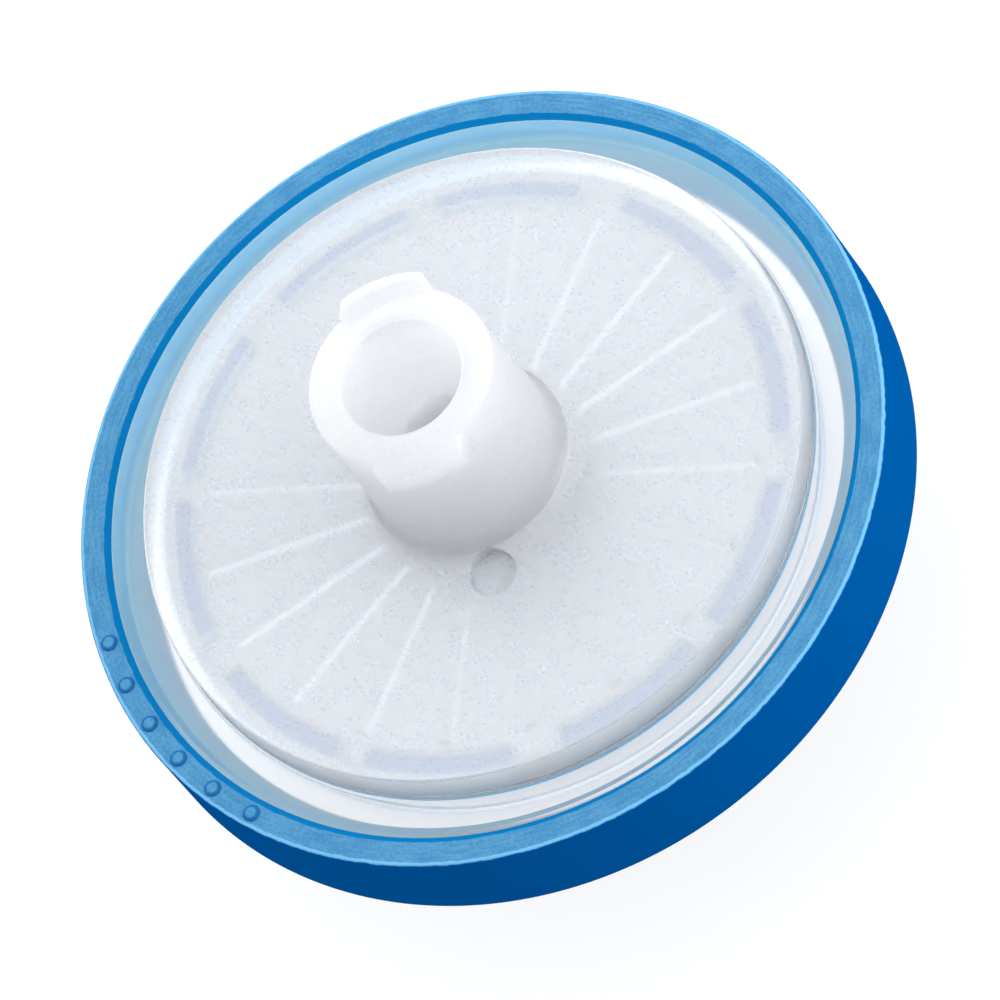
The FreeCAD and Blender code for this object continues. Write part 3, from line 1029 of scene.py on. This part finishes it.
@dataclass
class InletHousing:
    """The frosted upper housing: luer lock hub, plateau, clear channel, spreader ribs and clamp crown."""

    levels: Levels
    materials: dict[Zone, Material]
    mouth_radius: float = 2.137
    lead_in: float = 0.15
    mouth_land: float = 0.50
    luer_slope: float = 0.03
    luer_depth: float = 7.50
    feed_radius: float = 0.90
    hub_radius: float = 3.28
    hub_foot_radius: float = 3.38
    mouth_round: float = 0.06
    socket_round: float = 0.10
    hub_foot_round: float = 0.90
    hub_edge_round: float = 0.15
    plateau_round: float = 0.12
    channel_round: float = 0.20
    rim_width: float = 0.38
    rim_slope: float = 0.22
    pocket_radius: float = 11.60
    crown_inner: float = 10.38
    crown_outer: float = 11.05
    crown_margin: float = 0.10
    lug_radius: float = 3.87
    lug_tip_width: float = 2.96
    lug_root_width: float = 3.38
    lug_thickness: float = 1.30
    lug_edge_thickness: float = 0.95
    lug_edge_round: float = 0.09
    lug_drop: float = 0.002
    lug_steps: int = 16
    gate_radius: float = 0.84
    gate_offset: float = 4.46
    gate_depth: float = 0.22
    gate_flare: float = 0.02
    rib_count: int = 20
    rib_width: float = 0.50
    rib_height: float = 0.35
    rib_reach: tuple[float, float] = (3.60, 10.00)
    gap_count: int = 5
    wide_gap: float = 1.68
    narrow_gap: float = 1.02

    def section(self) -> Section:
        """Draws the housing's section.

        Returns:
            The section, from the mouth down the socket and back up the outside.
        """
        at, bond = self.levels, self.levels.gap / 2
        cone = self.luer_depth - self.lead_in - self.mouth_land
        floor_radius = self.mouth_radius - self.luer_slope * cone
        rim = at.housing_radius - self.rim_width
        return Section(
            [
                Corner(self.mouth_radius + self.lead_in, 0.0, self.mouth_round),
                Corner(self.mouth_radius, -self.lead_in, self.socket_round),
                Corner(self.mouth_radius, -self.lead_in - self.mouth_land),
                Corner(floor_radius, -self.luer_depth, self.socket_round),
                Corner(self.feed_radius, -self.luer_depth),
                Corner(self.feed_radius, at.roof),
                Corner(self.crown_inner, at.roof, FINE_ROUND),
                Corner(self.crown_inner, at.membrane_top + bond, FINE_ROUND),
                Corner(self.pocket_radius, at.membrane_top + bond),
                Corner(self.pocket_radius, at.parting + bond),
                Corner(at.housing_radius + bond, at.parting + bond),
                Corner(at.housing_radius + bond, at.rim_top - bond),
                Corner(rim + self.rim_slope, at.rim_top - bond, FINE_ROUND),
                Corner(rim, at.channel, self.channel_round),
                Corner(at.plateau_radius, at.channel, self.channel_round),
                Corner(at.plateau_radius, at.plateau, self.plateau_round),
                Corner(self.hub_foot_radius, at.plateau, self.hub_foot_round),
                Corner(self.hub_radius, 0.0, self.hub_edge_round),
            ]
        )

    def lug(self, turn: float) -> Object:
        """One lug of the luer lock: an arc in plan, slanting ends and a sloping underside.

        Args:
            turn: The lug's angle about the axis, from +Y.

        Returns:
            A closed body whose root lies inside the hub's wall.
        """
        root = (self.mouth_radius + self.hub_radius) / 2 + self.lead_in
        half = math.asin(self.lug_tip_width / 2 / self.lug_radius)
        plan = [Vector((side * self.lug_root_width / 2, root, 0)) for side in (-1, 1)]
        for step in range(self.lug_steps + 1):
            angle = half - 2 * half * step / self.lug_steps
            plan.append(Vector((math.sin(angle), math.cos(angle), 0)) * self.lug_radius)
        slope = (self.lug_thickness - self.lug_edge_thickness) / (self.lug_radius - self.hub_foot_radius)
        work = bmesh.new()
        top = [work.verts.new(spot * MM) for spot in plan]
        bottom = []
        for spot in plan:
            depth = self.lug_edge_thickness + slope * (self.lug_radius - spot.length)
            bottom.append(work.verts.new((spot - Vector((0, 0, depth))) * MM))
        work.faces.new(top)
        work.faces.new(bottom[::-1])
        for i in range(len(plan)):
            j = (i + 1) % len(plan)
            work.faces.new([top[i], bottom[i], bottom[j], top[j]])
        bmesh.ops.recalc_face_normals(work, faces=work.faces)
        bmesh.ops.transform(work, matrix=Matrix.Rotation(turn, 4, "Z"), verts=work.verts)
        bmesh.ops.translate(work, vec=(0, 0, -self.lug_drop * MM), verts=work.verts)
        mesh = bpy.data.meshes.new("lug")
        work.to_mesh(mesh)
        work.free()
        lug = new_object("lug", mesh)
        bevel = lug.modifiers.new("soften", "BEVEL")
        bevel.width = self.lug_edge_round * MM
        bevel.segments = 3
        bevel.limit_method = "ANGLE"
        keep_result(lug)
        return lug

    def gate(self) -> Object:
        """Makes the plug that leaves the round gate mark beside the hub's foot.

        Returns:
            The plug.
        """
        mesh = bpy.data.meshes.new("gate")
        work = bmesh.new()
        depth = self.gate_depth + self.hub_foot_round
        middle = self.levels.plateau - self.gate_depth + depth / 2
        bmesh.ops.create_cone(
            work,
            cap_ends=True,
            segments=64,
            radius1=self.gate_radius * MM,
            radius2=(self.gate_radius + self.gate_flare) * MM,
            depth=depth * MM,
            matrix=Matrix.Translation(Vector((0, -self.gate_offset, middle)) * MM),
        )
        work.to_mesh(mesh)
        work.free()
        return new_object("gate", mesh)

    def patterns(self, body: Object, material: Material) -> None:
        """Adds the spreader ribs and removes the crown's gaps.

        Args:
            body: The turned housing.
            material: Its material.
        """
        at = self.levels
        heights = (at.roof - self.rib_height, at.roof + at.sunk)
        Blocks(self.rib_count, 0.0, self.rib_width, self.rib_reach, heights).apply(body, Cut.ADD, material)
        reach = (self.crown_inner - self.crown_margin, self.crown_outer)
        heights = (at.membrane_top - at.sunk, at.roof - at.gap)
        for width, first in ((self.narrow_gap, 0.0), (self.wide_gap, math.pi)):
            Blocks(self.gap_count, first, width, reach, heights).apply(body, Cut.REMOVE, material)

    def build(self) -> None:
        """Makes the housing and hands it to the frame."""
        material = self.materials[Zone.CLEAR]
        body = turned("inlet_housing_shell", self.section(), material)
        for turn in (0.0, math.pi):
            combine(body, self.lug(turn), Cut.ADD)
        combine(body, self.gate(), Cut.REMOVE)
        self.patterns(body, material)
        face_outwards(body)
        finish_zones(body, self.materials, self.levels)
        join_frame(body, "inlet_housing")


@dataclass
class Membrane:
    """The white sheet pinched between the housings."""

    levels: Levels
    finish: Finish = MEMBRANE_FINISH
    edge_round: float = 0.02

    def build(self) -> None:
        """Makes the membrane and hands it to the frame."""
        gap = self.levels.gap / 2
        low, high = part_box("membrane")
        bottom, top = low.z / MM + gap, high.z / MM - gap
        radius = high.x / MM
        edge = Corner(radius, bottom, self.edge_round), Corner(radius, top, self.edge_round)
        section = Section([Corner(0.0, bottom), *edge, Corner(0.0, top)])
        body = turned("membrane_sheet", section, self.finish.build(), 192)
        join_frame(body, "membrane")


@dataclass
class OutletHousing:
    """The lower housing: drain with support ribs, and the male luer tip."""

    levels: Levels
    materials: dict[Zone, Material]
    hole_radius: float = 1.05
    tip_radius: float = 1.985
    hole_round: float = 0.08
    tip_round: float = 0.20
    cone_length: float = 7.50
    tip_land: float = 0.50
    luer_slope: float = 0.03
    spout_shoulder: float = 0.78
    spout_height: float = 1.40
    spout_round: float = 0.60
    rim_wall: float = 0.90
    lip_reach: float = 0.90
    recess_round: float = 0.20
    drain_radius: float = 10.38
    support_count: int = 20
    support_width: float = 0.40
    support_reach: tuple[float, float] = (2.40, 10.75)

    def section(self) -> Section:
        """Draws the housing's section.

        Returns:
            The section, from the drain down the hole and back up the outside.
        """
        at, bond = self.levels, self.levels.gap / 2
        lip = at.housing_radius - self.lip_reach
        rim = lip - self.rim_wall
        base = self.tip_radius + self.luer_slope * self.cone_length
        foot = at.outlet_face - self.spout_height
        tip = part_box("outlet_housing")[0].z / MM
        return Section(
            [
                Corner(self.hole_radius, at.drain_floor),
                Corner(self.hole_radius, tip, self.hole_round),
                Corner(self.tip_radius, tip, self.tip_round),
                Corner(base, foot - self.tip_land),
                Corner(base, foot, self.hole_round),
                Corner(base + self.spout_shoulder, foot, self.tip_round),
                Corner(base + self.spout_shoulder, at.outlet_face, self.spout_round),
                Corner(rim, at.outlet_face, self.recess_round),
                Corner(rim, at.ring_bottom, FINE_ROUND),
                Corner(lip + bond, at.ring_bottom),
                Corner(lip + bond, at.lip_top - bond),
                Corner(at.housing_radius + bond, at.lip_top - bond),
                Corner(at.housing_radius + bond, at.parting - bond),
                Corner(self.drain_radius, at.parting - bond),
                Corner(self.drain_radius, at.drain_floor, FINE_ROUND),
            ]
        )

    def build(self) -> None:
        """Makes the housing and hands it to the frame."""
        at = self.levels
        material = self.materials[Zone.CLEAR]
        body = turned("outlet_housing_shell", self.section(), material)
        heights = (at.drain_floor - at.sunk, at.parting - at.gap)
        ribs = Blocks(self.support_count, 0.0, self.support_width, self.support_reach, heights)
        ribs.apply(body, Cut.ADD, material)
        face_outwards(body)
        finish_zones(body, self.materials, at)
        join_frame(body, "outlet_housing")


@dataclass
class OvermouldRing:
    """The blue ring that clasps both housings, with a row of small raised dots."""

    levels: Levels
    finish: RingFinish = RingFinish()
    bond: Finish = BOND_PAINTED_LIGHT_FINISH
    edge_round: float = 0.12
    bevel_width: float = 0.22
    bevel_rounds: tuple[float, float] = (0.04, 0.03)
    lip_reach: float = 0.90
    dot_count: int = 6
    dot_pitch: float = 7.45
    dot_start: float = 186.1
    dot_radius: float = 0.29
    dot_height: float = 0.09
    dot_root: float = 0.05
    dot_round: float = 0.085

    def section(self) -> Section:
        """Draws the ring's section.

        Returns:
            The section, from the lip round the outside and back down the bevel.
        """
        at = self.levels
        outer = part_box("overmould_ring")[1].x / MM
        inner = at.housing_radius
        return Section(
            [
                Corner(inner - self.lip_reach, at.ring_bottom),
                Corner(outer, at.ring_bottom, self.edge_round),
                Corner(outer, at.ring_top, self.edge_round),
                Corner(inner + self.bevel_width, at.ring_top, self.bevel_rounds[0]),
                Corner(inner, at.rim_top, self.bevel_rounds[1]),
                Corner(inner, at.lip_top),
                Corner(inner - self.lip_reach, at.lip_top),
            ]
        )

    def finish_bond(self, body: Object) -> None:
        """Gives the faces that are bonded to the clear plastic their own material: the ring's blue painted
        much paler, as painted light that comes through the ring.

        Args:
            body: The ring.
        """
        body.data.materials.append(self.bond.build())
        inner, low = self.levels.housing_radius + self.levels.gap, self.levels.ring_bottom + self.levels.gap
        for face in body.data.polygons:
            spot = face.center / MM
            if low < spot.z < self.levels.rim_top and math.hypot(spot.x, spot.y) < inner:
                face.material_index = len(body.data.materials) - 1

    def dot(self) -> Object:
        """Makes one low dot with a softened rim, standing on the origin.

        Returns:
            The dot.
        """
        root = Corner(0.0, -self.dot_root), Corner(self.dot_radius, -self.dot_root)
        head = Corner(self.dot_radius, self.dot_height, self.dot_round), Corner(0.0, self.dot_height)
        return turned("dot", Section([*root, *head], arc_steps=4, hold=0.01), None, 32)

    def build(self) -> None:
        """Makes the ring and hands it to the frame."""
        at = self.levels
        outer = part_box("overmould_ring")[1].x / MM
        middle = (at.housing_radius + self.bevel_width + outer - self.edge_round) / 2
        row = DotRow(self.dot_count, math.radians(self.dot_start), math.radians(self.dot_pitch), middle)
        material = self.finish.build(at.housing_radius + self.bevel_width, outer, at.ring_top, row)
        body = turned("overmould_ring_band", self.section(), material)
        dot = self.dot()
        run_tree(
            body,
            row_tree(),
            {
                "Mark": dot,
                "Count": row.count,
                "First Angle": row.first,
                "Pitch": row.pitch,
                "Circle Radius": row.radius * MM,
                "Height": at.ring_top * MM,
                "Material": material,
            },
        )
        bpy.data.objects.remove(dot, do_unlink=True)
        self.finish_bond(body)
        join_frame(body, "overmould_ring")


# Studio


@dataclass(frozen=True)
class Softbox:
    """A square area light aimed at the filter.

    Args:
        name: The light's name.
        azimuth: Its direction about +Z in degrees, with 0 on the -Y side and positive towards +X.
        elevation: Its height above the horizon in degrees.
        distance: Its distance in metres.
        size: The side of its square in metres.
        power: Its power in watts.
    """

    name: str
    azimuth: float
    elevation: float
    distance: float
    size: float
    power: float

    def build(self, target: Vector) -> None:
        """Places the light.

        Args:
            target: The spot that it faces.
        """
        light = bpy.data.lights.new(self.name, "AREA")
        light.shape = "SQUARE"
        light.size = self.size
        light.energy = self.power
        lamp = new_object(self.name, light)
        away = direction(self.azimuth, self.elevation)
        lamp.location = target + away * self.distance
        lamp.rotation_euler = away.to_track_quat("Z", "Y").to_euler()


def grey(level: float) -> tuple[float, float, float, float]:
    """A neutral colour for a shader."""
    return level, level, level, 1.0


def direction(azimuth: float, elevation: float) -> Vector:
    """A unit vector from an azimuth, with 0 on the -Y side and positive towards +X, and an elevation."""
    turn, rise = math.radians(azimuth), math.radians(elevation)
    return Vector((math.sin(turn) * math.cos(rise), -math.cos(turn) * math.cos(rise), math.sin(rise)))


@dataclass
class Studio:
    """A plain pale floor, soft light and the camera."""

    levels: Levels
    azimuth: float = 23.06
    elevation: float = 57.01
    roll: float = -39.07
    distance: float = 0.4235
    lens: float = 451.0
    sensor: float = 36.0
    clip: tuple[float, float] = (0.01, 20.0)
    shift_right: float = 0.721
    shift_up: float = -0.917
    floor_size: float = 3.0
    floor_shade: float = 0.60
    floor_shade_seen: float = 0.35
    floor_glow: float = 0.48
    floor_glow_seen: float = 0.72
    world_turn: tuple[float, float] = (0.35, 0.95)
    world_levels: tuple[float, float] = (1.28, 0.30)
    world_colour: tuple[float, float, float, float] = (0.955, 0.975, 1.0, 1.0)
    dim_side: tuple[float, float] = (-20.0, 0.0)
    softboxes: tuple[Softbox, ...] = (
        Softbox("overhead", 203.0, 57.0, 0.60, 0.50, 0.3),
        Softbox("side", 85.0, 12.0, 0.70, 0.40, 1.8),
    )

    def camera(self) -> None:
        """Places the camera, rolled, with the ring's top centre a little off its axis."""
        back = direction(self.azimuth, self.elevation)
        level = Vector((math.cos(math.radians(self.azimuth)), math.sin(math.radians(self.azimuth)), 0.0))
        roll = math.radians(self.roll)
        right = level * math.cos(roll) + back.cross(level) * math.sin(roll)
        up = back.cross(right)
        aim = Vector((0, 0, self.levels.ring_top)) * MM + (right * self.shift_right + up * self.shift_up) * MM
        data = bpy.data.cameras.new("camera")
        data.lens = self.lens
        data.sensor_width = self.sensor
        data.clip_start, data.clip_end = self.clip
        camera = new_object("camera", data)
        turn = Matrix((right, up, back)).transposed().to_4x4()
        camera.matrix_world = Matrix.Translation(aim + back * self.distance) @ turn
        bpy.context.scene.camera = camera

    def floor(self) -> None:
        """A pale floor under the outlet's tip that shows white and keeps the shadow."""
        half, level = self.floor_size / 2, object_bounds()[0][2]
        corners = [(x * half, y * half, level) for x, y in ((-1, -1), (1, -1), (1, 1), (-1, 1))]
        mesh = bpy.data.meshes.new("floor")
        mesh.from_pydata(corners, [], [range(4)])
        floor = new_object("floor", mesh)
        material = bpy.data.materials.new("floor_paper")
        material.use_nodes = True
        tree = Tree(material.node_tree)
        path = tree.node("ShaderNodeLightPath").outputs
        seen = path["Is Camera Ray"]
        passed = tree.math("MAXIMUM", path["Is Glossy Ray"], path["Is Transmission Ray"])
        shade = tree.blend(seen, grey(self.floor_shade), grey(self.floor_shade_seen))
        paper = tree.node("ShaderNodeBsdfDiffuse", {"Color": shade})
        glows = tree.times(seen, self.floor_glow_seen), tree.times(passed, self.floor_glow)
        glow = tree.node("ShaderNodeEmission", {"Color": grey(1.0), "Strength": tree.math("MAXIMUM", *glows)})
        both = tree.node("ShaderNodeAddShader", {0: paper.outputs[0], 1: glow.outputs[0]})
        tree.node("ShaderNodeOutputMaterial", {"Surface": both.outputs[0]})
        mesh.materials.append(material)
        floor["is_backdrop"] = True

    def world(self) -> None:
        """Soft light from all round, weaker on one side, and white where the camera sees past the floor."""
        world = bpy.data.worlds.new("studio")
        world.use_nodes = True
        tree = Tree(world.node_tree)
        seen = tree.node("ShaderNodeLightPath").outputs["Is Camera Ray"]
        dim = direction(*self.dim_side)
        where = tree.node("ShaderNodeTexCoord").outputs["Generated"]
        towards = tree.node("ShaderNodeVectorMath", {0: where, 1: dim}, operation="DOT_PRODUCT")
        lobe = tree.ramp(towards.outputs["Value"], *self.world_turn, *self.world_levels)
        level = tree.mix(seen, lobe, 1.0)
        colour = tree.blend(seen, self.world_colour, grey(1.0))
        sky = tree.node("ShaderNodeBackground", {"Color": colour, "Strength": level})
        tree.node("ShaderNodeOutputWorld", {"Surface": sky.outputs[0]})
        bpy.context.scene.world = world

    def build(self) -> None:
        """Sets up the floor, the light and the camera."""
        target = Vector((0, 0, self.levels.ring_top)) * MM
        self.floor()
        self.world()
        for softbox in self.softboxes:
            softbox.build(target)
        self.camera()
        bpy.context.scene.view_settings.view_transform = "Standard"


def main() -> None:
    """Builds the filter's pieces in order, then the studio."""
    logging.basicConfig(level=logging.INFO, format="%(name)s %(message)s")
    levels = Levels()
    materials = zone_materials(levels, InletHousing.crown_inner, InletHousing.crown_outer)
    InletHousing(levels, materials).build()
    Membrane(levels).build()
    OutletHousing(levels, materials).build()
    OvermouldRing(levels).build()
    Studio(levels).build()


if __name__ == "__main__":
    main()
